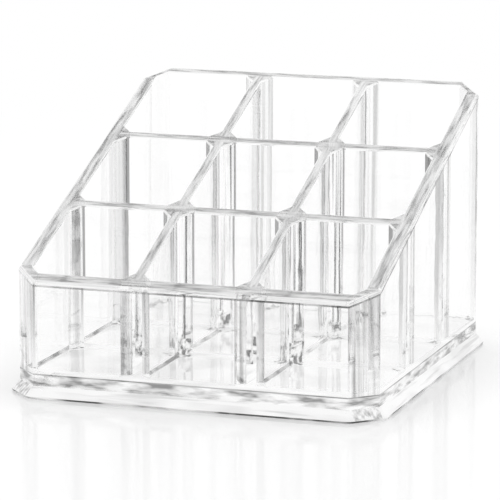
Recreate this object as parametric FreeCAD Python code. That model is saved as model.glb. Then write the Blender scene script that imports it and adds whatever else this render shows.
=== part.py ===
"""Clear vanity organizer: nine open compartments in a tray whose rim slopes up from front to rear.

The tray is bonded from clear acrylic pieces. Four walls meet in four chamfered corner posts and stand
on a floor plate, which sits on a flared foot skirt. Two long dividers and two cross dividers are halved
into each other and housed in the walls and the floor. A triangular fillet bar fills each corner that a
divider makes, so every compartment is an octagon in plan.

Millimetres. +X is the right side, +Y the rear and +Z up. The origin is on the table, under the middle.
"""

import FreeCAD
import Part

import math
import os

# Driving dimensions: compartments and the pieces around them
CELL_WIDTH = 24.8  # clear width of a compartment, left to right
CELL_DEPTH = 27.3  # clear depth of a compartment, front to rear
SIDE_WALL = 3.4  # thickness of the left and right walls
FRONT_WALL = 3.6  # thickness of the front wall
REAR_WALL = 2.4  # thickness of the rear wall
LONG_DIVIDER = 2.4  # thickness of the dividers that run front to rear
CROSS_DIVIDER = 2.4  # thickness of the dividers that run left to right
FRONT_HEIGHT = 26.8  # rim above the table, at the outer face of the front wall
REAR_HEIGHT = 63.5  # rim above the table, at the outer face of the rear wall

# Driving dimensions: corners
CORNER_CHAMFER = 5.5  # leg of the flat that cuts each outer corner in plan
FILLET_LEG = 2.3  # leg of the flat that cuts each inner corner in plan
POST_SHOULDER = 0.6  # straight stub of a corner post beyond its flats

# Driving dimensions: floor and foot
FLOOR_THICKNESS = 2.8  # floor plate, from the top of the foot to the compartment floors
FOOT_HEIGHT = 2.7  # foot skirt, from the table to the underside of the floor plate
FOOT_FLARE = 1.9  # how far the skirt stands out from the walls at the table
FOOT_LIP = 0.5  # upright edge at the bottom of the flare
FOOT_LEDGE = 3.6  # width of skirt that carries the rim of the floor plate

# Driving dimensions: joints between the pieces
HOUSING_DEPTH = 0.8  # how deep dividers and walls are let into the floor, and dividers into the walls
SPIGOT_DEPTH = 0.8  # how far the floor plate drops inside the skirt
TONGUE_THICKNESS = 1.0  # tongue on each end of a wall, let into a corner post
TONGUE_LENGTH = 0.8  # how far that tongue stands out
BOND_CLEARANCE = 0.05  # room for the bond on each side of a housed piece
OVERRUN = 2.0  # how far a cutting shape runs past what it cuts

# Dividers, named from the left and from the front
LONG_DIVIDERS = ("left_divider", "right_divider")
CROSS_DIVIDERS = ("front_cross_divider", "rear_cross_divider")

# Places worked out from the driving dimensions
COLUMNS = len(LONG_DIVIDERS) + 1
ROWS = len(CROSS_DIVIDERS) + 1
BODY_WIDTH = 2 * SIDE_WALL + COLUMNS * CELL_WIDTH + len(LONG_DIVIDERS) * LONG_DIVIDER
BODY_DEPTH = FRONT_WALL + REAR_WALL + ROWS * CELL_DEPTH + len(CROSS_DIVIDERS) * CROSS_DIVIDER
RIGHT = BODY_WIDTH / 2
LEFT = -RIGHT
REAR = BODY_DEPTH / 2
FRONT = -REAR
INNER_RIGHT = RIGHT - SIDE_WALL
INNER_LEFT = -INNER_RIGHT
INNER_REAR = REAR - REAR_WALL
INNER_FRONT = FRONT + FRONT_WALL
FLOOR_TOP = FOOT_HEIGHT + FLOOR_THICKNESS
SEAT = FLOOR_TOP - HOUSING_DEPTH  # where the walls, posts and dividers stand
RIM_SLOPE = (REAR_HEIGHT - FRONT_HEIGHT) / BODY_DEPTH
CHAMFER_GROWTH = 2 - math.sqrt(2)  # what a corner flat's leg gains for each unit that its outline grows


def rim_height(y):
    """Height of the sloping rim above the table at depth y."""
    return FRONT_HEIGHT + (y - FRONT) * RIM_SLOPE


def long_divider_x(column):
    """Middle of the long divider that follows this column of compartments."""
    return INNER_LEFT + (column + 1) * CELL_WIDTH + column * LONG_DIVIDER + LONG_DIVIDER / 2


def cross_divider_y(row):
    """Middle of the cross divider that follows this row of compartments."""
    return INNER_FRONT + (row + 1) * CELL_DEPTH + row * CROSS_DIVIDER + CROSS_DIVIDER / 2


def lap_height(row):
    """Where a long divider and the cross divider of this row halve each other: midway up from the floor."""
    return (FLOOR_TOP + rim_height(cross_divider_y(row))) / 2


# Shapes from outlines


def outline_wire(points, z):
    """Closed wire through plan points at height z."""
    corners = [FreeCAD.Vector(x, y, z) for x, y in points]
    return Part.makePolygon(corners + corners[:1])


def prism(points, bottom, top):
    """Solid that stands on a plan outline between two heights."""
    return Part.Face(outline_wire(points, bottom)).extrude(FreeCAD.Vector(0, 0, top - bottom))


def rectangle(x_low, x_high, y_low, y_high):
    """Plan outline of a rectangle."""
    return [(x_low, y_low), (x_high, y_low), (x_high, y_high), (x_low, y_high)]


def chamfered_rectangle(x_low, x_high, y_low, y_high, leg):
    """Plan outline of a rectangle whose corners are cut by flats of this leg."""
    return [
        (x_low + leg, y_low),
        (x_high - leg, y_low),
        (x_high, y_low + leg),
        (x_high, y_high - leg),
        (x_high - leg, y_high),
        (x_low + leg, y_high),
        (x_low, y_high - leg),
        (x_low, y_low + leg),
    ]


def body_outline(growth):
    """Outer plan outline of the walls and posts, moved out by growth on every side."""
    leg = CORNER_CHAMFER + growth * CHAMFER_GROWTH
    return chamfered_rectangle(LEFT - growth, RIGHT + growth, FRONT - growth, REAR + growth, leg)


def inner_outline(shrink):
    """Plan outline inside the walls and posts, moved in by shrink on every side."""
    leg = FILLET_LEG - shrink * CHAMFER_GROWTH
    return chamfered_rectangle(
        INNER_LEFT + shrink, INNER_RIGHT - shrink, INNER_FRONT + shrink, INNER_REAR - shrink, leg
    )


def above_the_rim():
    """Everything above the sloping rim, for trimming what stands under it."""
    y_low = FRONT - OVERRUN
    y_high = REAR + OVERRUN
    sky = REAR_HEIGHT + rim_height(y_high)
    side = [(y_low, rim_height(y_low)), (y_high, rim_height(y_high)), (y_high, sky), (y_low, sky)]
    corners = [FreeCAD.Vector(LEFT - OVERRUN, y, z) for y, z in side]
    face = Part.Face(Part.makePolygon(corners + corners[:1]))
    return face.extrude(FreeCAD.Vector(BODY_WIDTH + 2 * OVERRUN, 0, 0))


ABOVE_THE_RIM = above_the_rim()


def upright(points, bottom):
    """Piece that stands on a plan outline and ends at the sloping rim."""
    return prism(points, bottom, REAR_HEIGHT + OVERRUN).cut(ABOVE_THE_RIM)


def save(name, shape):
    """Write one node, which may hold several separate solids."""
    solids = shape.Solids
    shape.exportStep(os.path.join("parts", name + ".step"))
    volume = sum(solid.Volume for solid in solids)
    print(f"{name}: {len(solids)} solid(s), {volume:.1f} mm3, valid {shape.isValid()}")


# Floor and foot


def foot_skirt():
    """Flared ring that the tray stands on, open underneath."""
    wide = outline_wire(body_outline(FOOT_FLARE), FOOT_LIP)
    narrow = outline_wire(body_outline(0), FOOT_HEIGHT)
    flare = Part.makeLoft([wide, narrow], True, True)
    lip = prism(body_outline(FOOT_FLARE), 0, FOOT_LIP)
    opening = prism(body_outline(-FOOT_LEDGE), -OVERRUN, FOOT_HEIGHT + OVERRUN)
    return flare.fuse(lip).removeSplitter().cut(opening)


def floor_plate():
    """Floor with a ledge for the walls, housings for the dividers and a spigot that drops into the skirt."""
    plate = prism(body_outline(0), FOOT_HEIGHT, SEAT)
    raised_floor = prism(inner_outline(BOND_CLEARANCE), SEAT, FLOOR_TOP)
    spigot = prism(body_outline(-FOOT_LEDGE - BOND_CLEARANCE), FOOT_HEIGHT - SPIGOT_DEPTH, FOOT_HEIGHT)
    floor = plate.fuse([raised_floor, spigot]).removeSplitter()
    for column in range(len(LONG_DIVIDERS)):
        middle = long_divider_x(column)
        half = LONG_DIVIDER / 2 + BOND_CLEARANCE
        housing = rectangle(middle - half, middle + half, FRONT - OVERRUN, REAR + OVERRUN)
        floor = floor.cut(prism(housing, SEAT, FLOOR_TOP + OVERRUN))
    for row in range(len(CROSS_DIVIDERS)):
        middle = cross_divider_y(row)
        half = CROSS_DIVIDER / 2 + BOND_CLEARANCE
        housing = rectangle(LEFT - OVERRUN, RIGHT + OVERRUN, middle - half, middle + half)
        floor = floor.cut(prism(housing, SEAT, FLOOR_TOP + OVERRUN))
    return floor


# Corner posts and walls


def post_reach(crossed_wall):
    """How far a corner post runs along a wall, from the outer face of the wall that it turns into."""
    return max(crossed_wall + FILLET_LEG, CORNER_CHAMFER) + POST_SHOULDER


POST_REACH_X = post_reach(SIDE_WALL)  # along the front or rear wall, from a side
FRONT_POST_REACH_Y = post_reach(FRONT_WALL)  # along a side wall, from the front
REAR_POST_REACH_Y = post_reach(REAR_WALL)  # along a side wall, from the rear


def corner_post(x_side, y_side):
    """Corner post with a flat outside and inside, grooved for the tongues of its two walls.

    x_side is -1 on the left and 1 on the right; y_side is -1 at the front and 1 at the rear.
    """
    thickness = FRONT_WALL if y_side < 0 else REAR_WALL
    reach_y = FRONT_POST_REACH_Y if y_side < 0 else REAR_POST_REACH_Y
    from_corner = [
        (CORNER_CHAMFER, 0),
        (POST_REACH_X, 0),
        (POST_REACH_X, thickness),
        (SIDE_WALL + FILLET_LEG, thickness),
        (SIDE_WALL, thickness + FILLET_LEG),
        (SIDE_WALL, reach_y),
        (0, reach_y),
        (0, CORNER_CHAMFER),
    ]

    def placed(points):
        return [(x_side * (RIGHT - x), y_side * (REAR - y)) for x, y in points]

    half = TONGUE_THICKNESS / 2 + BOND_CLEARANCE
    depth = TONGUE_LENGTH + BOND_CLEARANCE
    middle_x = SIDE_WALL / 2
    middle_y = thickness / 2
    end_groove = rectangle(POST_REACH_X - depth, POST_REACH_X + OVERRUN, middle_y - half, middle_y + half)
    side_groove = rectangle(middle_x - half, middle_x + half, reach_y - depth, reach_y + OVERRUN)
    post = upright(placed(from_corner), SEAT)
    for groove in (end_groove, side_groove):
        post = post.cut(prism(placed(groove), SEAT - OVERRUN, REAR_HEIGHT + OVERRUN))
    return post


def end_wall(outer, inner):
    """Front or rear wall between its corner posts, with end tongues and a housing for each long divider."""
    low, high = sorted((outer, inner))
    wall_end = RIGHT - POST_REACH_X
    tongue_end = wall_end + TONGUE_LENGTH
    middle = (low + high) / 2
    half = TONGUE_THICKNESS / 2
    body = upright(rectangle(-wall_end, wall_end, low, high), SEAT)
    tongues = upright(rectangle(-tongue_end, tongue_end, middle - half, middle + half), SEAT)
    wall = body.fuse(tongues).removeSplitter()
    inward = math.copysign(1, inner - outer)
    for column in range(len(LONG_DIVIDERS)):
        x = long_divider_x(column)
        width = LONG_DIVIDER / 2 + BOND_CLEARANCE
        y_low, y_high = sorted((inner - inward * HOUSING_DEPTH, inner + inward * OVERRUN))
        housing = rectangle(x - width, x + width, y_low, y_high)
        wall = wall.cut(prism(housing, SEAT - OVERRUN, REAR_HEIGHT + OVERRUN))
    return wall


def side_wall(outer, inner):
    """Left or right wall between its corner posts, with end tongues and a housing for each cross divider."""
    low, high = sorted((outer, inner))
    front_end = FRONT + FRONT_POST_REACH_Y
    rear_end = REAR - REAR_POST_REACH_Y
    middle = (low + high) / 2
    half = TONGUE_THICKNESS / 2
    body = upright(rectangle(low, high, front_end, rear_end), SEAT)
    tongue_ends = (front_end - TONGUE_LENGTH, rear_end + TONGUE_LENGTH)
    tongues = upright(rectangle(middle - half, middle + half, *tongue_ends), SEAT)
    wall = body.fuse(tongues).removeSplitter()
    inward = math.copysign(1, inner - outer)
    for row in range(len(CROSS_DIVIDERS)):
        y = cross_divider_y(row)
        width = CROSS_DIVIDER / 2 + BOND_CLEARANCE
        x_low, x_high = sorted((inner - inward * HOUSING_DEPTH, inner + inward * OVERRUN))
        housing = rectangle(x_low, x_high, y - width, y + width)
        wall = wall.cut(prism(housing, SEAT - OVERRUN, REAR_HEIGHT + OVERRUN))
    return wall


# Dividers, halved into each other

HOUSED = HOUSING_DEPTH - BOND_CLEARANCE  # how far a divider's end enters its wall


def long_divider(column):
    """Divider from front to rear, slotted from the rim down to each lap."""
    x = long_divider_x(column)
    half = LONG_DIVIDER / 2
    divider = upright(rectangle(x - half, x + half, INNER_FRONT - HOUSED, INNER_REAR + HOUSED), SEAT)
    for row in range(len(CROSS_DIVIDERS)):
        y = cross_divider_y(row)
        width = CROSS_DIVIDER / 2 + BOND_CLEARANCE
        slot = rectangle(x - half - OVERRUN, x + half + OVERRUN, y - width, y + width)
        divider = divider.cut(prism(slot, lap_height(row), REAR_HEIGHT + OVERRUN))
    return divider


def cross_divider(row):
    """Divider from left to right, slotted from the floor up to each lap."""
    y = cross_divider_y(row)
    half = CROSS_DIVIDER / 2
    divider = upright(rectangle(INNER_LEFT - HOUSED, INNER_RIGHT + HOUSED, y - half, y + half), SEAT)
    for column in range(len(LONG_DIVIDERS)):
        x = long_divider_x(column)
        width = LONG_DIVIDER / 2 + BOND_CLEARANCE
        slot = rectangle(x - width, x + width, y - half - OVERRUN, y + half + OVERRUN)
        divider = divider.cut(prism(slot, SEAT - OVERRUN, lap_height(row) + BOND_CLEARANCE))
    return divider


# Fillet bars in the corners of the compartments


def fillet_bar(x, y, x_way, y_way):
    """Triangular bar in the corner at (x, y), whose legs run along x_way and y_way."""
    corner = [(x, y), (x + x_way * FILLET_LEG, y), (x, y + y_way * FILLET_LEG)]
    return upright(corner, FLOOR_TOP)


def end_wall_fillets(inner, y_way):
    """Bars on both sides of each long divider where it meets the front or rear wall."""
    bars = []
    for column in range(len(LONG_DIVIDERS)):
        for x_way in (-1, 1):
            face = long_divider_x(column) + x_way * LONG_DIVIDER / 2
            bars.append(fillet_bar(face, inner, x_way, y_way))
    return Part.makeCompound(bars)


def side_wall_fillets(inner, x_way):
    """Bars on both sides of each cross divider where it meets the left or right wall."""
    bars = []
    for row in range(len(CROSS_DIVIDERS)):
        for y_way in (-1, 1):
            face = cross_divider_y(row) + y_way * CROSS_DIVIDER / 2
            bars.append(fillet_bar(inner, face, x_way, y_way))
    return Part.makeCompound(bars)


def crossing_fillets(column, row):
    """The four bars around one crossing of a long divider and a cross divider."""
    bars = []
    for x_way in (-1, 1):
        for y_way in (-1, 1):
            x = long_divider_x(column) + x_way * LONG_DIVIDER / 2
            y = cross_divider_y(row) + y_way * CROSS_DIVIDER / 2
            bars.append(fillet_bar(x, y, x_way, y_way))
    return Part.makeCompound(bars)


# The whole organizer


def build():
    """Every node of the organizer by name."""
    nodes = {
        "foot_skirt": foot_skirt(),
        "floor_plate": floor_plate(),
        "front_wall": end_wall(FRONT, INNER_FRONT),
        "rear_wall": end_wall(REAR, INNER_REAR),
        "left_wall": side_wall(LEFT, INNER_LEFT),
        "right_wall": side_wall(RIGHT, INNER_RIGHT),
        "front_wall_fillets": end_wall_fillets(INNER_FRONT, 1),
        "rear_wall_fillets": end_wall_fillets(INNER_REAR, -1),
        "left_wall_fillets": side_wall_fillets(INNER_LEFT, 1),
        "right_wall_fillets": side_wall_fillets(INNER_RIGHT, -1),
    }
    for end, y_side in (("front", -1), ("rear", 1)):
        for side, x_side in (("left", -1), ("right", 1)):
            nodes[f"{end}_{side}_post"] = corner_post(x_side, y_side)
    for column, name in enumerate(LONG_DIVIDERS):
        nodes[name] = long_divider(column)
    for row, name in enumerate(CROSS_DIVIDERS):
        nodes[name] = cross_divider(row)
    for row, end in enumerate(("front", "rear")):
        for column, side in enumerate(("left", "right")):
            nodes[f"{end}_{side}_crossing_fillets"] = crossing_fillets(column, row)
    return nodes


os.makedirs("parts", exist_ok=True)
for node_name, node_shape in build().items():
    save(node_name, node_shape)
print(f"body {BODY_WIDTH:.1f} x {BODY_DEPTH:.1f}, foot {BODY_WIDTH + 2 * FOOT_FLARE:.1f} wide")
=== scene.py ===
# %% [markdown]
# # A clear vanity organizer
# The real object is a small stepped tray of clear plastic for lipsticks and brushes. Nine open
# compartments stand in three rows. Their rims lie in one plane that rises from a low front to a
# tall rear, and the whole stands on a flared foot. The CAD part holds every wall, post, divider
# and fillet bar as a piece of its own. This lesson dresses those pieces: it rolls the rims over,
# gives each surface its own clear finish and puts the tray into a white studio.

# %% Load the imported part
import math
from functools import partial

import bmesh
import bpy
from mathutils import Matrix, Vector


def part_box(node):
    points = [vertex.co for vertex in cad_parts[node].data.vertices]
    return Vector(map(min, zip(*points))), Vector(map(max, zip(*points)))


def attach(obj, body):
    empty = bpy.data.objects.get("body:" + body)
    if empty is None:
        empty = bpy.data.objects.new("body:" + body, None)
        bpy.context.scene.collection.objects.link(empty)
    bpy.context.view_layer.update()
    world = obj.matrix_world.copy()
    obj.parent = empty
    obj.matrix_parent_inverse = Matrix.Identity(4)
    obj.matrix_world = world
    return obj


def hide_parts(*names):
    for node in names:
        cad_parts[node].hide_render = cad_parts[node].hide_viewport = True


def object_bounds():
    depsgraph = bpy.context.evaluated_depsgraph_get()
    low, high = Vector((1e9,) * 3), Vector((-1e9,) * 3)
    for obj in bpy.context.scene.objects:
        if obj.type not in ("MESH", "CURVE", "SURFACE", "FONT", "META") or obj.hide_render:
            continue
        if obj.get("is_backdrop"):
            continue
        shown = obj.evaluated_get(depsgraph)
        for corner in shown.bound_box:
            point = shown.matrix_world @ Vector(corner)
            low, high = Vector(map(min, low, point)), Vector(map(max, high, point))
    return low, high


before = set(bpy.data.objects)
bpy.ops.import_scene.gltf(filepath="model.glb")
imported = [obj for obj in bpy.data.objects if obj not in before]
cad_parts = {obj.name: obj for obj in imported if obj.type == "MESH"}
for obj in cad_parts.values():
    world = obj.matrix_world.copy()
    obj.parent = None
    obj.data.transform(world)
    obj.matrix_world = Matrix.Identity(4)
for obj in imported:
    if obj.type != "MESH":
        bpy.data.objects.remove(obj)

cad_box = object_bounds()

# %% [markdown]
# ## Sizes
# Every length that shows in the box round a CAD node is read from there, so the dressed part
# follows the solids when they are resized. The few that no box shows are repeated from the CAD
# where they are first needed. Only small things are new: roundings, narrow grey lines and the
# cement that was squeezed out of the joints. The mesh is worked in millimetres and scaled to
# metres at the very end, because Blender's filling tools are surer with numbers near one than
# with numbers near a thousandth.

# %% Read the sizes
MM = 0.001
LONG_DIVIDERS = ("left_divider", "right_divider")
CROSS_DIVIDERS = ("front_cross_divider", "rear_cross_divider")


def box_mm(name):
    """Lowest and highest corner of a CAD node, in millimetres."""
    low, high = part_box(name)
    return low / MM, high / MM


floor_low, floor_high = box_mm("floor_plate")
foot_low, foot_high = box_mm("foot_skirt")
LEFT, RIGHT, FRONT, REAR = floor_low.x, floor_high.x, floor_low.y, floor_high.y
SPIGOT_FACE, FOOT_TOP, FLOOR_TOP = floor_low.z, foot_high.z, floor_high.z
FOOT_FLARE = floor_low.x - foot_low.x
INNER_LEFT, INNER_RIGHT = box_mm("left_wall")[1].x, box_mm("right_wall")[0].x
INNER_FRONT, INNER_REAR = box_mm("front_wall")[1].y, box_mm("rear_wall")[0].y
DIVIDER_X = [(box_mm(name)[0].x, box_mm(name)[1].x) for name in LONG_DIVIDERS]
DIVIDER_Y = [(box_mm(name)[0].y, box_mm(name)[1].y) for name in CROSS_DIVIDERS]
FILLET_LEG = box_mm("front_wall_fillets")[1].y - INNER_FRONT
WALL_END = box_mm("front_right_post")[0].x
SIDE_FRONT_END, SIDE_REAR_END = box_mm("front_left_post")[1].y, box_mm("rear_left_post")[0].y
REAR_RIM, FRONT_RIM_INSIDE = box_mm("rear_wall")[1].z, box_mm("front_wall")[1].z
RIM_SLOPE = (REAR_RIM - FRONT_RIM_INSIDE) / (REAR - INNER_FRONT)


def rim_height(y):
    """Height of the sloping rim plane at depth y."""
    return REAR_RIM + (y - REAR) * RIM_SLOPE


print(f"body {RIGHT - LEFT:.1f} x {REAR - FRONT:.1f} mm, floor at {FLOOR_TOP:.1f} mm")
print(f"rim from {rim_height(FRONT):.1f} to {REAR_RIM:.1f} mm,",
      f"{math.degrees(math.atan(RIM_SLOPE)):.1f} degrees")

# %% [markdown]
# ## Plan outlines
# Seen from above, the tray is a rectangle with its corners cut, and so is every compartment. One
# function draws both. It can also grow or shrink the outline by a given amount, and the flats
# then keep their 45 degrees. That is all that a rounding needs later: a rounding is the same
# outline, drawn a few times, each a little larger and higher. The same could be done with a bevel
# modifier, but a bevel would round the bonded joints too.

# %% Draw plan outlines
CORNER_FLAT = 5.5  # mm, as in the CAD: leg of the flat that cuts each outer corner
CORNER_ROUND = 0.5  # mm, rounding of the upright edges of the corner flats
LEAST_ROUND = 0.1  # mm, what stays of that rounding where the outline shrinks
HALF_BEND = math.radians(22.5)  # half of the 45 degrees that the outline turns at a corner
GROWTH_OF_FLAT = 2 - math.sqrt(2)  # what a flat's leg gains when its outline grows by one


def cut_rectangle(x_low, x_high, y_low, y_high, leg, growth=0.0):
    """Corners of a rectangle with 45 degree flats, moved out by growth on every side."""
    leg += growth * GROWTH_OF_FLAT
    x_low, x_high, y_low, y_high = x_low - growth, x_high + growth, y_low - growth, y_high + growth
    return [
        Vector((x_low + leg, y_low)), Vector((x_high - leg, y_low)),
        Vector((x_high, y_low + leg)), Vector((x_high, y_high - leg)),
        Vector((x_high - leg, y_high)), Vector((x_low + leg, y_high)),
        Vector((x_low, y_high - leg)), Vector((x_low, y_low + leg)),
    ]


def body_outline(growth=0.0):
    """Outer outline of the tray, with each upright edge rolled over in three points."""
    corners = cut_rectangle(LEFT, RIGHT, FRONT, REAR, CORNER_FLAT, growth)
    radius = max(CORNER_ROUND + growth, LEAST_ROUND)
    reach = radius * math.tan(HALF_BEND)
    sink = radius * (1 / math.cos(HALF_BEND) - 1)
    points = []
    for i, corner in enumerate(corners):
        back = (corners[i - 1] - corner).normalized()
        ahead = (corners[(i + 1) % len(corners)] - corner).normalized()
        inward = (back + ahead).normalized()
        points += [corner + back * reach, corner + inward * sink, corner + ahead * reach]
    return points


print(f"outer outline of {len(body_outline())} points")

# %% [markdown]
# The nine compartments lie between the walls and the dividers, three in a row. Each is kept as
# the rectangle between its faces, and the same function cuts its corners later.

# %% Lay out the compartments
column_edges = [INNER_LEFT, *DIVIDER_X[0], *DIVIDER_X[1], INNER_RIGHT]
row_edges = [INNER_FRONT, *DIVIDER_Y[0], *DIVIDER_Y[1], INNER_REAR]
COLUMNS, ROWS = len(column_edges) // 2, len(row_edges) // 2
COMPARTMENTS = [
    (column_edges[2 * c], column_edges[2 * c + 1], row_edges[2 * r], row_edges[2 * r + 1])
    for r in range(ROWS) for c in range(COLUMNS)
]
left, right, near, far = COMPARTMENTS[0]
print(f"{len(COMPARTMENTS)} compartments of {right - left:.1f} x {far - near:.1f} mm")

# %% [markdown]
# ## One body first, pieces second
# Light bends at every surface of clear plastic, so two neighbours that are rounded one by one
# would show a groove at each joint. The real joints are bonded and all but invisible. So the
# walls, dividers and fillet bars are first drawn as one body, in rings of points that climb from
# the floor to the rim and roll over its edge, and are sawn into the CAD's pieces afterwards.
#
# The first cell holds the helpers: a ring of points, a band of faces between two rings, a cap of
# flat faces over open edges, such a cap between many rings, and the steps of a rounding. Bands
# and caps are told which finish they will wear, as the number of a material slot.

# %% Rings, bands and caps
# Material slots of every piece, by the finish they hold.
(POLISHED, RIM, PAINTED_LINE, FILLET, CORNER, BEADED,
 POOLED, EDGE, FLARE, LIP, SOLE, BOND) = range(12)
ROUND_STEPS = 4


def ring(mesh, points, height):
    """One closed row of vertices over plan points, at a height that may depend on y."""
    return [mesh.verts.new((p.x, p.y, height(p.y))) for p in points]


def skin(mesh, lower, upper, slots, smooth=False):
    """Band of faces between two rings of the same count, wearing the given slots in turn."""
    count = len(lower)
    for i in range(count):
        j = (i + 1) % count
        face = mesh.faces.new((lower[i], lower[j], upper[j], upper[i]))
        face.material_index, face.smooth = slots[i % len(slots)], smooth


def cap(mesh, edges, slot, dissolve):
    """Flat faces over closed rows of edges. dissolve removes the lines between triangles."""
    made = bmesh.ops.triangle_fill(mesh, use_beauty=True, use_dissolve=dissolve, edges=edges)
    for face in made["geom"]:
        if isinstance(face, bmesh.types.BMFace):
            face.material_index, face.smooth = slot, False


def cap_between(mesh, rings, slot):
    """Flat triangles between an outer ring and the rings inside it."""
    edges = [mesh.edges.get((r[i - 1], r[i])) for r in rings for i in range(len(r))]
    cap(mesh, edges, slot, dissolve=False)


def quarter_turn(radius):
    """Steps of a rounding: how far it has moved sideways, and how far it is from its end."""
    turns = [math.radians(90 * step / ROUND_STEPS) for step in range(ROUND_STEPS + 1)]
    return [(radius * (1 - math.cos(turn)), radius * (1 - math.sin(turn))) for turn in turns]


steps = [f"{away:.2f}, {below:.2f}" for away, below in quarter_turn(1.0)]
print("a rounding of 1 mm in steps:", steps)

# %% [markdown]
# Every upright surface is a climb from the floor over a rounding onto the rim. The photograph
# shows the rim's edges as pale lines, and in clear plastic a small rounding gives that. A
# compartment has cement at its foot, and its outline grows as it rolls over the edge. Its 45
# degree sides are the faces of the fillet bars, where the cement crept up a little; at the
# crossings that cement is a finish with dark painted shade. The outside shrinks instead, and has
# a narrow band of painted shade below the rounding: a dark line in the colour, not in the shape.

# %% Climb from the floor to the rim
OUTER_ROUND = 0.7  # mm, rounding of the rim's outer edge
INNER_ROUND = 0.35  # mm, rounding of the rim's edge round each compartment
PAINTED_LINE_HEIGHT = 0.45  # mm, band of painted shade below the outer rounding: a dark line, not a crease in the shape
BEAD = 0.6  # mm, hollow bead of set cement where a compartment's floor meets its sides
CREEP = 4.0  # mm, how far the cement has crept up the bars at the crossings, in a finish with painted shade


def climb(mesh, outline, rounding, outward, sides, line_sides=()):
    """Rings from the floor over the rounded edge onto the rim.

    outward is 1 in a compartment and -1 outside.
    """
    rings = [ring(mesh, outline(0.0), lambda y: FLOOR_TOP)]
    slots = []
    if outward > 0:
        rings.append(ring(mesh, outline(0.0), lambda y: FLOOR_TOP + BEAD))
        rings.append(ring(mesh, outline(0.0), lambda y: FLOOR_TOP + CREEP))
        slots += [(BOND,), [POOLED if side == FILLET else side for side in sides], sides]
    else:
        rings.append(ring(mesh, outline(0.0), lambda y: rim_height(y) - rounding - PAINTED_LINE_HEIGHT))
        slots += [sides, line_sides]
    for away, below in quarter_turn(rounding):
        rings.append(ring(mesh, outline(outward * away),
                          lambda y, below=below: rim_height(y) - below))
    slots += [(POLISHED,)] * ROUND_STEPS
    for lower, upper, worn in zip(rings, rings[1:], slots):
        skin(mesh, lower, upper, worn, smooth=worn == (POLISHED,))
    return rings[0], rings[-1]


print(f"rim rounded by {OUTER_ROUND} mm outside and {INNER_ROUND} mm in the compartments")

# %% [markdown]
# Now the body is climbed once round the outside and once in each compartment. The outside has 24
# bands: for each of its eight corners, from the front left round by the right, two bands of
# rounding and then the side that follows. The front corners wear drawn lines with painted shade
# like the bars, and at the rear the painted dark line below the rim is left out. A compartment
# has eight sides, and the odd ones are its flats. Those on the two rear posts are polished, like
# the walls there.

# %% Draw the walls as one body
OUTER_BANDS = range(len(body_outline()))
FRONT_CORNERS = (21, 22, 23, 0, 1, 3, 4, 5, 6, 7)
REAR_BANDS = range(11, 18)
REAR_POST_FLATS = {(2, 2): 3, (2, 0): 5}  # side of the compartment, by its row and column

walls = bmesh.new()
outer_sides = [CORNER if band in FRONT_CORNERS else POLISHED for band in OUTER_BANDS]
# Outside, the band below the rounding wears a dark line of painted shade, except at the rear.
outer_lines = [POLISHED if band in REAR_BANDS else PAINTED_LINE for band in OUTER_BANDS]
climbs = [climb(walls, body_outline, OUTER_ROUND, -1, outer_sides, outer_lines)]
for number, cell in enumerate(COMPARTMENTS):
    post_flat = REAR_POST_FLATS.get(divmod(number, COLUMNS))
    sides = [FILLET if side % 2 and side != post_flat else POLISHED for side in range(8)]
    outline = partial(cut_rectangle, *cell, FILLET_LEG)
    climbs.append(climb(walls, outline, INNER_ROUND, 1, sides))
cap_between(walls, [top for bottom, top in climbs], RIM)
cap_between(walls, [bottom for bottom, top in climbs], BOND)
bmesh.ops.recalc_face_normals(walls, faces=walls.faces)
print(f"walls: {len(walls.faces)} faces, {walls.calc_volume():.0f} mm3,",
      "open edges:", sum(len(e.link_faces) != 2 for e in walls.edges))

# %% [markdown]
# ## The saw
# A saw cut splits the mesh along a plane, throws away what lies beyond and closes the cut with a
# new face. That face is a bond between two pieces, so it gets the bond's slot. Faces that already
# lie in the plane stay only if they look out of the piece, which leaves every compartment face
# with the piece that it belongs to. A boolean modifier could do this too, but it is slower and
# leaves slivers where faces coincide.

# %% Make the saw
TOUCH = 1e-4  # mm; nearer than this counts as in the plane


def saw(mesh, point, outward):
    """Keep what lies behind the plane and close the cut with a bonded face."""
    everything = mesh.verts[:] + mesh.edges[:] + mesh.faces[:]
    bmesh.ops.bisect_plane(mesh, geom=everything, dist=TOUCH, plane_co=point, plane_no=outward)
    beyond = []
    for face in mesh.faces:
        height = (face.calc_center_median() - point).dot(outward)
        if height > TOUCH or (height > -TOUCH and face.normal.dot(outward) < 0):
            beyond.append(face)
    bmesh.ops.delete(mesh, geom=beyond, context="FACES")
    cut_edges = [e for e in mesh.edges if len(e.link_faces) == 1]
    if cut_edges:
        cap(mesh, cut_edges, BOND, dissolve=True)
    bmesh.ops.recalc_face_normals(mesh, faces=mesh.faces)


def sawn(x_low=None, x_high=None, y_low=None, y_high=None):
    """The part of the walls that stands over a rectangle of the plan."""
    mesh = walls.copy()
    cuts = ((x_low, (-1, 0, 0)), (x_high, (1, 0, 0)), (y_low, (0, -1, 0)), (y_high, (0, 1, 0)))
    for limit, outward in cuts:
        if limit is not None:
            outward = Vector(outward)
            saw(mesh, Vector([abs(a) * limit for a in outward]), outward)
    return mesh


half_tray = sawn(x_high=0.0)
print(f"half of the walls: {half_tray.calc_volume():.0f} of {walls.calc_volume():.0f} mm3")
half_tray.free()

# %% [markdown]
# ## Walls, posts and dividers
# The four walls are plain sheets that stop at the corner posts. A post is the tray's cut corner,
# a thick bent piece that ties two walls together. The dividers run between the walls, two from
# front to rear and two across. Each one is what stands over its own rectangle of the plan, so the
# saw makes them all.

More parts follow.
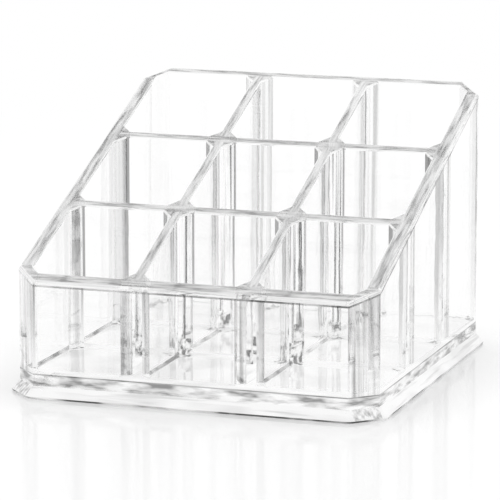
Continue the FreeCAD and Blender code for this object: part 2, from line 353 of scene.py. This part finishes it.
# %% Saw the walls, posts and dividers
blanks = {
    "front_wall": [sawn(-WALL_END, WALL_END, None, INNER_FRONT)],
    "rear_wall": [sawn(-WALL_END, WALL_END, INNER_REAR, None)],
    "left_wall": [sawn(None, INNER_LEFT, SIDE_FRONT_END, SIDE_REAR_END)],
    "right_wall": [sawn(INNER_RIGHT, None, SIDE_FRONT_END, SIDE_REAR_END)],
    "front_left_post": [sawn(None, -WALL_END, None, SIDE_FRONT_END)],
    "front_right_post": [sawn(WALL_END, None, None, SIDE_FRONT_END)],
    "rear_left_post": [sawn(None, -WALL_END, SIDE_REAR_END, None)],
    "rear_right_post": [sawn(WALL_END, None, SIDE_REAR_END, None)],
}
for name, (left, right) in zip(LONG_DIVIDERS, DIVIDER_X):
    blanks[name] = [sawn(left, right, INNER_FRONT, INNER_REAR)]
for name, (near, far) in zip(CROSS_DIVIDERS, DIVIDER_Y):
    blanks[name] = [sawn(INNER_LEFT, INNER_RIGHT, near, far)]
for name, meshes in blanks.items():
    print(f"{name}: {meshes[0].calc_volume():.0f} mm3")

# %% [markdown]
# ## Fillet bars
# Where a divider meets a wall or another divider, the photograph shows a thickened, eight-sided
# pad in the rim and a broad upright column under it. On the part these are three-sided bars
# bonded into the corners. A bar is what stands over the small square between two faces that meet,
# so each one is named by those two faces and by the way the bar reaches from them.

# %% Saw the fillet bars


def bars(xs, ys):
    """Fillet bars where a face at x meets a face at y.

    Each face is given with the way its bar reaches from it, 1 or -1.
    """
    found = []
    for x, x_way in xs:
        for y, y_way in ys:
            x_low, x_high = sorted((x, x + x_way * FILLET_LEG))
            y_low, y_high = sorted((y, y + y_way * FILLET_LEG))
            found.append(sawn(x_low, x_high, y_low, y_high))
    return found


long_faces = [[(low, -1), (high, 1)] for low, high in DIVIDER_X]
cross_faces = [[(low, -1), (high, 1)] for low, high in DIVIDER_Y]
fillets = {
    "front_wall_fillets": bars(long_faces[0] + long_faces[1], [(INNER_FRONT, 1)]),
    "rear_wall_fillets": bars(long_faces[0] + long_faces[1], [(INNER_REAR, -1)]),
    "left_wall_fillets": bars([(INNER_LEFT, 1)], cross_faces[0] + cross_faces[1]),
    "right_wall_fillets": bars([(INNER_RIGHT, -1)], cross_faces[0] + cross_faces[1]),
}
for end, ys in zip(("front", "rear"), cross_faces):
    for side, xs in zip(("left", "right"), long_faces):
        fillets[f"{end}_{side}_crossing_fillets"] = bars(xs, ys)
blanks.update(fillets)
print("bars:", sum(len(meshes) for meshes in fillets.values()),
      f"{sum(mesh.calc_volume() for meshes in fillets.values() for mesh in meshes):.0f} mm3")

# %% [markdown]
# ## Floor plate
# The floor is a slab with a spigot underneath that drops into the foot ring. Its edge shows on
# the outside as a grey, mottled band round the tray, painted shade in the plastic's colour, with a
# thin dark line of painted shade above it where the walls stand on it. At the rear no such band
# shows through the walls in the photograph, so the edge is polished there. The slab is stacked
# from rings, like the walls.

# %% Stack the floor plate
FOOT_LEDGE = 3.6  # mm, as in the CAD: how far the foot ring reaches in under the walls
JOINT_LINE = 0.3  # mm, height of the dark line of painted shade where the walls stand on the floor plate

floor = bmesh.new()
spigot_low = ring(floor, body_outline(-FOOT_LEDGE), lambda y: SPIGOT_FACE)
spigot_high = ring(floor, body_outline(-FOOT_LEDGE), lambda y: FOOT_TOP)
edge_low = ring(floor, body_outline(), lambda y: FOOT_TOP)
edge_line = ring(floor, body_outline(), lambda y: FLOOR_TOP - JOINT_LINE)
edge_high = ring(floor, body_outline(), lambda y: FLOOR_TOP)
skin(floor, spigot_low, spigot_high, (BOND,))
skin(floor, spigot_high, edge_low, (BOND,))
edge_sides = [POLISHED if band in REAR_BANDS else EDGE for band in OUTER_BANDS]
skin(floor, edge_low, edge_line, edge_sides)
# The top of the edge wears the dark line of painted shade where the walls stand on it.
skin(floor, edge_line, edge_high, outer_lines)
print(f"floor plate's edge: {FLOOR_TOP - FOOT_TOP:.1f} mm high")

# %% [markdown]
# In each compartment a bead of cement has set between floor and sides. A hollow bead bends the
# light away and shows as a grey line, and grey painted shade in the bead's colour deepens it. The
# photograph shows such lines from front to rear and hardly any across, so the beads across are
# almost nothing here, as if they had been wiped off. In the corners of a compartment the cement
# has run out further, and is mottled dark with painted shade. A line painted on the floor would
# be simpler, but it would lie flat and look the same from every side.

# %% Run the beads round the compartments
POOL = 1.2  # mm, how much further the cement has run out in the corners of a compartment
SLIM = 0.04  # share of the bead's width that is left where it runs across the tray
# From the front round: a clear bead across, a drop, a bead from front to rear, a drop; the drops
# and the bead from front to rear are grey with painted shade.
BEAD_SLOTS = (POLISHED, POOLED, BEADED, POOLED)

cell_rings = []
for cell in COMPARTMENTS:
    rings = [ring(floor, cut_rectangle(*cell, FILLET_LEG), lambda y: FLOOR_TOP)]
    cell_rings.append(rings[0])
    for away, above in quarter_turn(BEAD):
        x_low, x_high, y_low, y_high = cell
        slim = away * SLIM
        leg = FILLET_LEG + POOL * away / BEAD
        outline = cut_rectangle(x_low + away, x_high - away, y_low + slim, y_high - slim, leg)
        rings.append(ring(floor, outline, lambda y, above=above: FLOOR_TOP + above))
    skin(floor, rings[0], rings[1], (BOND,))
    for lower, upper in zip(rings[1:], rings[2:]):
        skin(floor, lower, upper, BEAD_SLOTS, smooth=True)
    floor.faces.new(rings[-1])
floor.faces.new(spigot_low).material_index = SOLE
cap_between(floor, [edge_high, *cell_rings], BOND)
bmesh.ops.recalc_face_normals(floor, faces=floor.faces)
blanks["floor_plate"] = [floor]
print(f"floor plate: {floor.calc_volume():.0f} mm3,",
      "open edges:", sum(len(e.link_faces) != 2 for e in floor.edges))

# %% [markdown]
# ## Foot skirt
# The foot is a ring that flares out below the floor plate and ends in a thin upright lip. It is
# the same outline again, grown and lowered step by step, and closed into a ring with a flat sole.
# The lip is rolled over at the bottom. Its faces wear a painted contact shadow, the dark hair
# line where the tray touches the table.

# %% Stack the foot skirt
FOOT_LIP = 0.5  # mm, as in the CAD: upright edge at the foot's widest place
LIP_ROUND = 0.4  # mm, rounding of the foot's lowest edge
CORNER_FLATS = (5, 11, 17, 23)  # the outer bands that are flats

foot = bmesh.new()
profile = [(-FOOT_LEDGE, FOOT_TOP, BOND), (0.0, FOOT_TOP, FLARE), (FOOT_FLARE, FOOT_LIP, LIP)]
profile += [(FOOT_FLARE - away, above, LIP) for away, above in quarter_turn(LIP_ROUND)[:-1]]
profile += [(FOOT_FLARE - LIP_ROUND, 0.0, SOLE), (-FOOT_LEDGE, 0.0, POLISHED)]
profile += [(-FOOT_LEDGE, SPIGOT_FACE, BOND)]
foot_rings = [ring(foot, body_outline(growth), lambda y, z=z: z) for growth, z, slot in profile]
next_rings = foot_rings[1:] + foot_rings[:1]
for (growth, z, slot), lower, upper in zip(profile, foot_rings, next_rings):
    worn = [CORNER if slot == FLARE and band in CORNER_FLATS else slot for band in OUTER_BANDS]
    skin(foot, lower, upper, worn, smooth=slot == LIP)
bmesh.ops.recalc_face_normals(foot, faces=foot.faces)
blanks["foot_skirt"] = [foot]
print(f"foot skirt: {foot.calc_volume():.0f} mm3,",
      "open edges:", sum(len(e.link_faces) != 2 for e in foot.edges))

# %% [markdown]
# ## Nodes and colours
# A material in Blender is a small graph. One function adds a node to it: its settings, its plain
# input values and its links. A second one turns a colour, written as the eye knows it, into the
# linear values that the renderer counts in. A third makes the empty material to work in.

# %% Node helper and colours


def node(tree, kind, settings=None, links=None, **sockets):
    """Add a node with its settings, the links that feed it and values for its other inputs."""
    made = tree.nodes.new(kind)
    for name, value in (settings or {}).items():
        setattr(made, name, value)
    for name, value in sockets.items():
        made.inputs[name.replace("_", " ")].default_value = value
    for name, output in (links or {}).items():
        tree.links.new(output, made.inputs[name])
    return made


def linear(hex_code):
    """Linear RGBA of an sRGB hex colour."""
    channels = [int(hex_code[i:i + 2], 16) / 255 for i in (1, 3, 5)]
    return [c / 12.92 if c <= 0.04045 else ((c + 0.055) / 1.055) ** 2.4 for c in channels] + [1.0]


def material(name):
    """New empty node material and its tree."""
    made = bpy.data.materials.new(name)
    made.use_nodes = True
    made.node_tree.nodes.clear()
    return made, made.node_tree


print("mid grey #808080 is", f"{linear('#808080')[0]:.3f}", "in linear values")

# %% [markdown]
# ## Clear acrylic
# The tray is clear acrylic, index of refraction 1.49. All its finishes are the same plastic and
# differ only in what a tool left on the surface, so one function makes them all. It stretches a
# noise to the size of the tool's marks, in millimetres along x, y and z, and uses it as relief.
# The same noise paints a grey into the plastic's colour: painted shade that stands in for the grey
# lines that bent light shows in clear plastic. A perfect glass shader loses nothing at inner
# reflections, and in a white studio the thick corners would then vanish. Real acrylic is faintly
# hazy, so each reflection is dimmed, least at the polished faces and most in the drawn bars. That
# is the grey specular tint.

# %% Describe clear acrylic
ACRYLIC_IOR = 1.49
HAZE = "#F2F2F2"  # what a reflection inside the plastic leaves of white


def clear_acrylic(name, marks_mm, depth_mm, dark, pale, spread, roughness, inside=HAZE):
    """Acrylic with tool marks of a given length in x, y and z.

    dark and pale are its tints at the ends of the spread of marks, the dark one painted shade,
    and inside is what is left of white after a reflection inside the plastic.
    """
    made, tree = material(name)
    place = node(tree, "ShaderNodeTexCoord")
    stretch = node(tree, "ShaderNodeMapping", links={"Vector": place.outputs["Object"]},
                   Scale=[1 / (length * MM) for length in marks_mm])
    marks = node(tree, "ShaderNodeTexNoise", links={"Vector": stretch.outputs["Vector"]},
                 Scale=1.0, Detail=2.0)
    relief = node(tree, "ShaderNodeBump", links={"Height": marks.outputs["Fac"]},
                  Distance=depth_mm * MM)
    # The grey that follows the marks is painted shade in the plastic's colour.
    tint = node(tree, "ShaderNodeValToRGB", links={"Fac": marks.outputs["Fac"]})
    for stop, position, hex_code in zip(tint.color_ramp.elements, spread, (dark, pale)):
        stop.position, stop.color = position, linear(hex_code)
    acrylic = node(
        tree, "ShaderNodeBsdfPrincipled",
        links={"Base Color": tint.outputs["Color"], "Normal": relief.outputs["Normal"]},
        Roughness=roughness, IOR=ACRYLIC_IOR, Transmission_Weight=1.0,
        Specular_Tint=linear(inside),
    )
    node(tree, "ShaderNodeOutputMaterial", links={"Surface": acrylic.outputs["BSDF"]})
    print(f"{name}: marks of {marks_mm} mm, {depth_mm} mm deep, {dark} to {pale}")
    return made


print("clear acrylic: index of refraction", ACRYLIC_IOR)

# %% [markdown]
# The big faces were cast or moulded against polished steel. They are clear and almost flat, with
# slow waves about a centimetre long that make straight lines seen through them wander a little.

# %% Polished faces
polished = clear_acrylic(
    "polished_clear_acrylic", marks_mm=(12, 12, 12), depth_mm=0.06,
    dark="#FEFEFE", pale="#FFFFFF", spread=(0.3, 0.7), roughness=0.02, inside="#FAFAFA")

# %% [markdown]
# The rims were buffed on a cloth wheel that ran along them. It left them satin, with drag marks
# in the relief and grey and white streaks along them; the grey is painted shade. Real drag marks
# are finer than a tenth of a millimetre. They are drawn 0.8 to 0.9 mm wide here, as fine as the
# render can show. Rims that run across the tray and rims that run from front to rear need their
# own direction. Below the outer rounding runs a narrow dark line of painted shade.

# %% Buffed rims
# The rims' grey streaks are painted shade; the wheel's drag marks are only the relief.
rim_across = clear_acrylic(
    "buffed_acrylic_rim_across_painted_shade", marks_mm=(7, 0.9, 7), depth_mm=0.02,
    dark="#6C6C6C", pale="#E2E2E2", spread=(0.33, 0.64), roughness=0.16)
rim_along = clear_acrylic(
    "buffed_acrylic_rim_along_painted_shade", marks_mm=(0.8, 9, 9), depth_mm=0.015,
    dark="#6C6C6C", pale="#ECECEC", spread=(0.33, 0.62), roughness=0.15)
# A narrow dark band of painted shade below the outer rounding and where the walls meet the floor
# plate.
shade_line = clear_acrylic(
    "acrylic_painted_shade_line", marks_mm=(10, 10, 10), depth_mm=0.02,
    dark="#383838", pale="#C8C8C8", spread=(0.36, 0.7), roughness=0.06)

# %% [markdown]
# The fillet bars are drawn stock: each was pulled through a die, which leaves fine lines along
# it in the relief. Grey streaks of painted shade follow the lines in the plastic's colour, and
# make every corner a streaky column. The lines are 0.9 to 1.4 mm wide here, coarser than real
# ones, so that they show. The photograph shows the bars in different states: grey and streaky at
# the front wall, evenly dull at the sides, broadly streaked at the rear wall, and at the
# crossings clear with the odd dark hair line; each finish paints that grey as shade. The inner
# flats of the two front posts have such lines too, and so have the outer corners at the front
# and on the foot.

# %% Drawn fillet bars
# The bars' grey streaks are painted shade in the plastic's colour; the die's lines are the relief.
side_bar = clear_acrylic(
    "drawn_acrylic_side_bar_painted_shade", marks_mm=(1.2, 1.2, 150), depth_mm=0.03,
    dark="#8C8C8C", pale="#FFFFFF", spread=(0.34, 0.58), roughness=0.04, inside="#E4E4E4")
post = clear_acrylic(
    "drawn_acrylic_post_painted_shade", marks_mm=(0.9, 0.9, 60), depth_mm=0.04,
    dark="#8C8C8C", pale="#FFFFFF", spread=(0.3, 0.48), roughness=0.04, inside="#D8D8D8")
front_bar = clear_acrylic(
    "drawn_acrylic_front_bar_painted_shade", marks_mm=(1.1, 1.1, 40), depth_mm=0.04,
    dark="#8C8C8C", pale="#FFFFFF", spread=(0.34, 0.62), roughness=0.05, inside="#DCDCDC")
rear_bar = clear_acrylic(
    "drawn_acrylic_rear_bar_painted_shade", marks_mm=(1.4, 1.4, 150), depth_mm=0.02,
    dark="#B0B0B0", pale="#FFFFFF", spread=(0.36, 0.58), roughness=0.03, inside="#C4C4C4")
crossing = clear_acrylic(
    "drawn_acrylic_crossing_painted_shade", marks_mm=(0.9, 0.9, 100), depth_mm=0.04,
    dark="#3C3C3C", pale="#FFFFFF", spread=(0.3, 0.42), roughness=0.04, inside="#E0E0E0")
corner = clear_acrylic(
    "drawn_acrylic_corner_painted_shade", marks_mm=(1.3, 1.3, 30), depth_mm=0.03,
    dark="#8C8C8C", pale="#FFFFFF", spread=(0.34, 0.6), roughness=0.03, inside="#D8D8D8")

# %% [markdown]
# The floor plate's edge is sawn and only flamed smooth. It keeps flat ripples, 6 mm long and
# 1.4 mm high, in its relief, and its mottled grey is painted shade. The flare of the foot below
# it is smoother, with a few faint streaks of painted shade. Its lowest edge is matt, with a dark
# painted contact shadow, broken where it touches the table.

# %% Floor edge and foot
# The edge's mottled grey and the flare's faint streaks are painted shade.
edge = clear_acrylic(
    "flamed_acrylic_edge_painted_shade", marks_mm=(6, 6, 1.4), depth_mm=0.2,
    dark="#5C5C5C", pale="#FFFFFF", spread=(0.36, 0.62), roughness=0.06)
flare = clear_acrylic(
    "moulded_acrylic_flare_painted_shade", marks_mm=(22, 22, 1.0), depth_mm=0.04,
    dark="#CCCCCC", pale="#FFFFFF", spread=(0.34, 0.48), roughness=0.04)
# The lip's near-black patches are a painted contact shadow where the tray meets the table.
lip = clear_acrylic(
    "sawn_acrylic_lip_painted_contact_shadow", marks_mm=(14, 14, 14), depth_mm=0.1,
    dark="#0C0C0C", pale="#E8E8E8", spread=(0.46, 0.66), roughness=0.1)

# %% [markdown]
# Solvent cement melts two pieces into one. Only what was squeezed out shows, as a bead along
# the compartment floors and as drops where the bars of a crossing stand on the floor. The bead's
# grey and the drops' dark mottling are painted shade.

# %% Beads and drops of cement
# The grey of the bead and the dark of the drops are painted shade in their colour.
bead = clear_acrylic(
    "set_solvent_cement_bead_painted_shade", marks_mm=(8, 8, 8), depth_mm=0.05,
    dark="#5C5C5C", pale="#FFFFFF", spread=(0.38, 0.64), roughness=0.05)
pool = clear_acrylic(
    "pooled_solvent_cement_painted_shade", marks_mm=(1.5, 1.5, 2.4), depth_mm=0.1,
    dark="#404040", pale="#FFFFFF", spread=(0.4, 0.54), roughness=0.06)

# %% [markdown]
# The bond itself shows nothing at all: it is plain transparent, and the light goes straight on
# from one piece into the next. The sole lies on the white table, and the underside close over it.
# Both let its white through, with faint grey patches of painted shade about 15 mm across.

# %% Bonds and the sole
PATCH_MM = 15
# The patches' grey is painted shade.
PATCH_GREY = "#EEEEEE"
PATCH_SPREAD = (0.36, 0.56)  # values of the noise where a patch is greyest and where it ends

bond, tree = material("solvent_bond_in_acrylic")
through = node(tree, "ShaderNodeBsdfTransparent")
node(tree, "ShaderNodeOutputMaterial", links={"Surface": through.outputs["BSDF"]})
sole, tree = material("pressed_acrylic_sole_painted_shade")
place = node(tree, "ShaderNodeTexCoord")
shade_patches = node(tree, "ShaderNodeTexNoise", links={"Vector": place.outputs["Object"]},
                Scale=1 / (PATCH_MM * MM), Detail=1.0)
grey = node(tree, "ShaderNodeValToRGB", links={"Fac": shade_patches.outputs["Fac"]})
for stop, position, hex_code in zip(grey.color_ramp.elements, PATCH_SPREAD,
                                    (PATCH_GREY, "#FFFFFF")):
    stop.position, stop.color = position, linear(hex_code)
through = node(tree, "ShaderNodeBsdfTransparent", links={"Color": grey.outputs["Color"]})
node(tree, "ShaderNodeOutputMaterial", links={"Surface": through.outputs["BSDF"]})
print("see-through faces:", bond.name, sole.name)

# %% [markdown]
# ## Pieces
# The sawn meshes become Blender objects here, one for each CAD node, with all finishes in the
# same slots. Bars that belong to one node are joined in one object. The rim's finish depends on
# the way the piece runs, and the finish of a bar and of its foot on where the bar stands.

# %% Turn the meshes into objects
RUN_ALONG = ("left_wall", "right_wall", *LONG_DIVIDERS)
WALL_BARS = {"front_wall_fillets": front_bar, "rear_wall_fillets": rear_bar,
             "left_wall_fillets": side_bar, "right_wall_fillets": side_bar}


def piece(name, meshes):
    """Join sawn meshes into one object, in millimetres for now."""
    data = bpy.data.meshes.new(name + "_clear")
    joined = bmesh.new()
    for mesh in meshes:
        scrap = bpy.data.meshes.new("scrap")
        mesh.to_mesh(scrap)
        joined.from_mesh(scrap)
        bpy.data.meshes.remove(scrap)
        mesh.free()
    joined.to_mesh(data)
    joined.free()
    rim = rim_along if name in RUN_ALONG else rim_across
    at_crossing = name.endswith("crossing_fillets")
    fillet = crossing if at_crossing else WALL_BARS.get(name, post)
    crept = pool if at_crossing or name == "floor_plate" else fillet
    for finish in (polished, rim, shade_line, fillet, corner, bead,
                   crept, edge, flare, lip, sole, bond):
        data.materials.append(finish)
    made = bpy.data.objects.new(name + "_clear", data)
    bpy.context.scene.collection.objects.link(made)
    return made


pieces = {name: piece(name, meshes) for name, meshes in blanks.items()}
print("pieces:", len(pieces), "faces:", sum(len(made.data.polygons) for made in pieces.values()))

# %% [markdown]
# ## Half laps
# Where two dividers cross, each has a slot for half of its height, and they slide into each other
# like the dividers of an egg box. A boolean takes the slot out. The slot's cutter wears the bond
# on all its sides, so the fresh faces do too.

# %% Halve the dividers
OVERRUN = 5.0  # mm that a cutter stands out where nothing is left to cut


def halve(divider, low, high):
    """Take a box out of a divider where another one passes."""
    box = bmesh.new()
    bmesh.ops.create_cube(box, size=1.0)
    bmesh.ops.scale(box, vec=high - low, verts=box.verts)
    bmesh.ops.translate(box, vec=(high + low) / 2, verts=box.verts)
    for face in box.faces:
        face.material_index = BOND
    data = bpy.data.meshes.new("slot")
    box.to_mesh(data)
    box.free()
    for finish in divider.data.materials:
        data.materials.append(finish)
    cutter = bpy.data.objects.new("slot", data)
    bpy.context.scene.collection.objects.link(cutter)
    cut = divider.modifiers.new("halving", "BOOLEAN")
    cut.operation, cut.object = "DIFFERENCE", cutter
    cut.solver, cut.material_mode = "EXACT", "INDEX"
    evaluated = divider.evaluated_get(bpy.context.evaluated_depsgraph_get())
    shaped = bpy.data.meshes.new_from_object(evaluated)
    divider.modifiers.remove(cut)
    divider.data = shaped
    bpy.data.objects.remove(cutter)


for cross_name, (near, far) in zip(CROSS_DIVIDERS, DIVIDER_Y):
    lap = (FLOOR_TOP + rim_height((near + far) / 2)) / 2
    for long_name, (left, right) in zip(LONG_DIVIDERS, DIVIDER_X):
        halve(pieces[long_name], Vector((left - OVERRUN, near, lap)),
              Vector((right + OVERRUN, far, REAR_RIM + OVERRUN)))
        halve(pieces[cross_name], Vector((left, near - OVERRUN, FOOT_TOP)),
              Vector((right, far + OVERRUN, lap)))
    print(f"{cross_name}: laps at {lap:.1f} mm")

# %% [markdown]
# ## Into the frame
# The pieces are scaled to metres in their meshes, so that every object stays at the origin like
# the CAD's own. Each rides on the only body and stands in for its node. The volumes are added up
# on the way: they have to give the whole tray again, with no piece left open.

# %% Place every piece
total, open_edges = 0.0, 0
for name, made in pieces.items():
    closed = bmesh.new()
    closed.from_mesh(made.data)
    open_edges += sum(len(e.link_faces) != 2 for e in closed.edges)
    total += closed.calc_volume()
    closed.free()
    made.data.transform(Matrix.Scale(MM, 4))
    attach(made, "root")
    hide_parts(name)
print(f"all pieces: {total:.0f} mm3, open edges: {open_edges};",
      f"walls drawn first: {walls.calc_volume():.0f} mm3")

# %% [markdown]
# ## Studio floor
# The tray stands on a wide plain floor. It lies a hair below the sole, because two faces in one
# plane would flicker.

# %% Lay the floor
HALF_FLOOR = 4.0  # m
FLOOR_GAP = 0.1 * MM
CORNER_SIGNS = ((-1, -1), (1, -1), (1, 1), (-1, 1))

scene = bpy.context.scene
scene.view_settings.view_transform = "Standard"
floor_data = bpy.data.meshes.new("studio_floor")
floor_data.from_pydata([(x * HALF_FLOOR, y * HALF_FLOOR, 0) for x, y in CORNER_SIGNS],
                       [], [(0, 1, 2, 3)])
studio_floor = bpy.data.objects.new("studio_floor", floor_data)
studio_floor.location.z = -FLOOR_GAP
scene.collection.objects.link(studio_floor)
studio_floor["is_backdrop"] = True
print("floor:", 2 * HALF_FLOOR, "m square")

# %% [markdown]
# The floor is white gloss laminate, which keeps a soft shadow and a faint mirror image. The
# camera sees it mixed with plain white, more so away from the tray, so that it runs into the
# white background. Seen through the plastic, it is white as well.

# %% White gloss laminate
FADE_START, FADE_END = 0.05, 0.4  # m; between these the camera's floor turns white
WHITE_AT_TRAY = 0.36  # share of plain white in the camera's floor close to the tray
WHITE_IN_PLASTIC = 0.96  # share of plain white in the floor that the plastic shows
WHITE = linear("#FFFFFF")

laminate, tree = material("white_gloss_laminate")
path = node(tree, "ShaderNodeLightPath")
place = node(tree, "ShaderNodeTexCoord")
radius = node(tree, "ShaderNodeVectorMath", {"operation": "LENGTH"}, {0: place.outputs["Object"]})
fade = node(tree, "ShaderNodeMapRange", links={"Value": radius.outputs["Value"]},
            From_Min=FADE_START, From_Max=FADE_END, To_Min=WHITE_AT_TRAY, To_Max=1.0)
to_camera = node(tree, "ShaderNodeMath", {"operation": "MULTIPLY"},
                 {0: path.outputs["Is Camera Ray"], 1: fade.outputs["Result"]})
to_plastic = node(tree, "ShaderNodeMath", {"operation": "MAXIMUM"},
                  {0: path.outputs["Is Transmission Ray"], 1: path.outputs["Is Glossy Ray"]})
share = node(tree, "ShaderNodeMath", {"operation": "MULTIPLY_ADD"},
             {0: to_plastic.outputs[0], 2: to_camera.outputs[0]})
share.inputs[1].default_value = WHITE_IN_PLASTIC
gloss = node(tree, "ShaderNodeBsdfPrincipled", Base_Color=linear("#F7F7F7"),
             Roughness=0.1, IOR=1.6)
white = node(tree, "ShaderNodeEmission", Color=WHITE)
top = node(tree, "ShaderNodeMixShader",
           links={0: share.outputs[0], 1: gloss.outputs[0], 2: white.outputs[0]})
print("floor:", laminate.name, "with", WHITE_AT_TRAY, "of plain white at the tray")

# %% [markdown]
# Rays that leave the plastic and land further off pass the floor more and more and meet the
# studio's walls instead, as beyond the edge of a small table. A hard edge there would cut the
# grey bands in the plastic off short, so the table ends little by little.

# %% End the table
TABLE_NEAR, TABLE_FAR = 0.06, 0.14  # m; between these it ends for rays that leave the plastic

off_table = node(tree, "ShaderNodeMapRange", links={"Value": radius.outputs["Value"]},
                 From_Min=TABLE_NEAR, From_Max=TABLE_FAR)
passing = node(tree, "ShaderNodeMath", {"operation": "MULTIPLY"},
               {0: off_table.outputs["Result"], 1: path.outputs["Is Transmission Ray"]})
clear = node(tree, "ShaderNodeBsdfTransparent")
mixed = node(tree, "ShaderNodeMixShader",
             links={0: passing.outputs[0], 1: top.outputs[0], 2: clear.outputs[0]})
node(tree, "ShaderNodeOutputMaterial", links={"Surface": mixed.outputs[0]})
floor_data.materials.append(laminate)
print("table seen through the plastic to", TABLE_FAR, "m")

# %% [markdown]
# ## Studio walls
# The world is white all round and falls off to grey overhead. Photographers put dark cards
# between the white walls so that the edges of glass show: the straight view through a pane stays
# white, and only light that was reflected inside the plastic meets a card. The ramp below does
# the same. It is fed by how far a direction points to the front or rear, and leaves dark gaps
# near the sides.

# %% Draw white walls, dark cards and a ceiling
CARD = linear("#A4A4A4")
CARD_START, CARD_END = 0.17, 0.6  # where the cards stand; 1 is straight to the front or rear
WHITE_BEFORE, WHITE_AFTER = 0.08, 0.7  # where the walls are plain white beside them
CEILING = linear("#9A9A9A")
CEILING_START, CEILING_END = 0.25, 0.8  # where the grey begins and is full; 1 is straight up

world = bpy.data.worlds.new("white_studio")
scene.world = world
world.use_nodes = True
tree = world.node_tree
tree.nodes.clear()
place = node(tree, "ShaderNodeTexCoord")
way = node(tree, "ShaderNodeSeparateXYZ", links={0: place.outputs["Generated"]})
flat = node(tree, "ShaderNodeVectorMath", {"operation": "MULTIPLY"},
            {0: place.outputs["Generated"]})
flat.inputs[1].default_value = (1, 1, 0)
heading = node(tree, "ShaderNodeVectorMath", {"operation": "NORMALIZE"},
               {0: flat.outputs["Vector"]})
ahead = node(tree, "ShaderNodeSeparateXYZ", links={0: heading.outputs["Vector"]})
facing = node(tree, "ShaderNodeMath", {"operation": "ABSOLUTE"}, {0: ahead.outputs["Y"]})
cards = node(tree, "ShaderNodeValToRGB", links={"Fac": facing.outputs[0]})
stops = cards.color_ramp.elements
stops[0].position, stops[0].color = WHITE_BEFORE, WHITE
stops[1].position, stops[1].color = WHITE_AFTER, WHITE
for position in (CARD_START, CARD_END):
    stops.new(position).color = CARD
ceiling = node(tree, "ShaderNodeValToRGB", links={"Fac": way.outputs["Z"]})
stops = ceiling.color_ramp.elements
stops[0].position, stops[0].color = CEILING_START, WHITE
stops[1].position, stops[1].color = CEILING_END, CEILING
near_edge, far_edge = (math.degrees(math.acos(side)) for side in (CARD_END, CARD_START))
print(f"cards from {near_edge:.0f} to {far_edge:.0f} degrees off front and rear")

# %% [markdown]
# Light Path's glossy depth tells reflected light, which meets the cards, from light that went
# straight through. The walls are a little brighter than white, to make up for what the plastic
# takes, and the camera's own background is plain white.

# %% Put them up
WALL_STRENGTH = 1.03

path = node(tree, "ShaderNodeLightPath")
carded = node(tree, "ShaderNodeMix", {"data_type": "RGBA", "blend_type": "MULTIPLY"},
              {0: path.outputs["Glossy Depth"], 6: ceiling.outputs["Color"],
               7: cards.outputs["Color"]})  # 0 is the mix's factor, 6 and 7 are its two colours
bright = node(tree, "ShaderNodeBackground", links={"Color": carded.outputs[2]},
              Strength=WALL_STRENGTH)
backdrop = node(tree, "ShaderNodeBackground", Color=WHITE, Strength=1.0)
seen = node(tree, "ShaderNodeMixShader",
            links={0: path.outputs["Is Camera Ray"], 1: bright.outputs[0], 2: backdrop.outputs[0]})
node(tree, "ShaderNodeOutputWorld", links={"Surface": seen.outputs[0]})
print("world:", world.name, "with", len(tree.nodes), "nodes")

# %% [markdown]
# ## Light
# One soft box hangs over the tray and gives the shadow on the table its soft shape. It doesn't
# show in the plastic, because the white walls do that better. Clear pieces behind clear pieces
# need many bounces before a ray has found its way out, so the limits are raised.

# %% Hang the soft box
CLEAR_BOUNCES, MIRROR_BOUNCES, BOND_CROSSINGS = 48, 24, 128
BOX_SIDE, BOX_POWER, BOX_PLACE = 0.7, 5.2, (0.0, 0.1, 0.8)  # m, W and m

scene.cycles.max_bounces = CLEAR_BOUNCES
scene.cycles.transmission_bounces = CLEAR_BOUNCES
scene.cycles.glossy_bounces = MIRROR_BOUNCES
scene.cycles.transparent_max_bounces = BOND_CROSSINGS
box_data = bpy.data.lights.new("overhead_softbox", "AREA")
box_data.shape, box_data.energy = "RECTANGLE", BOX_POWER
box_data.size = box_data.size_y = BOX_SIDE
softbox = bpy.data.objects.new("overhead_softbox", box_data)
softbox.location = BOX_PLACE
softbox.visible_glossy = softbox.visible_transmission = False
scene.collection.objects.link(softbox)
print("soft box:", BOX_POWER, "W at", f"{softbox.location.z:.1f} m")

# %% [markdown]
# ## Camera
# The camera stands where the photographer's did: a little to the right of the front and slightly
# above, far away with a long lens. These angles came from matching the tray's rim, corner and
# foot lines in the photograph.

# %% Set the camera
TARGET = Vector((-1.17, 0.0, 27.85)) * MM
AZIMUTH, ELEVATION, DISTANCE = math.radians(18.73), math.radians(10.95), 0.823  # distance in m
SENSOR, LENS, CLIP_START = 36.0, 252.1, 0.01  # mm, mm and m

camera_data = bpy.data.cameras.new("camera")
camera_data.sensor_width, camera_data.lens, camera_data.clip_start = SENSOR, LENS, CLIP_START
camera = bpy.data.objects.new("camera", camera_data)
scene.collection.objects.link(camera)
level = math.cos(ELEVATION)
back = Vector((math.sin(AZIMUTH) * level, -math.cos(AZIMUTH) * level, math.sin(ELEVATION)))
camera.location = TARGET + back * DISTANCE
camera.rotation_euler = back.to_track_quat("Z", "Y").to_euler()
scene.camera = camera
print("camera at", [round(v, 3) for v in camera.location])

# %% Compare the boxes and finish
bpy.context.view_layer.update()
visual_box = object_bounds()
for label, corners in (("CAD box:", cad_box), ("visual box:", visual_box)):
    print(label, [[round(c, 4) for c in v] for v in corners])
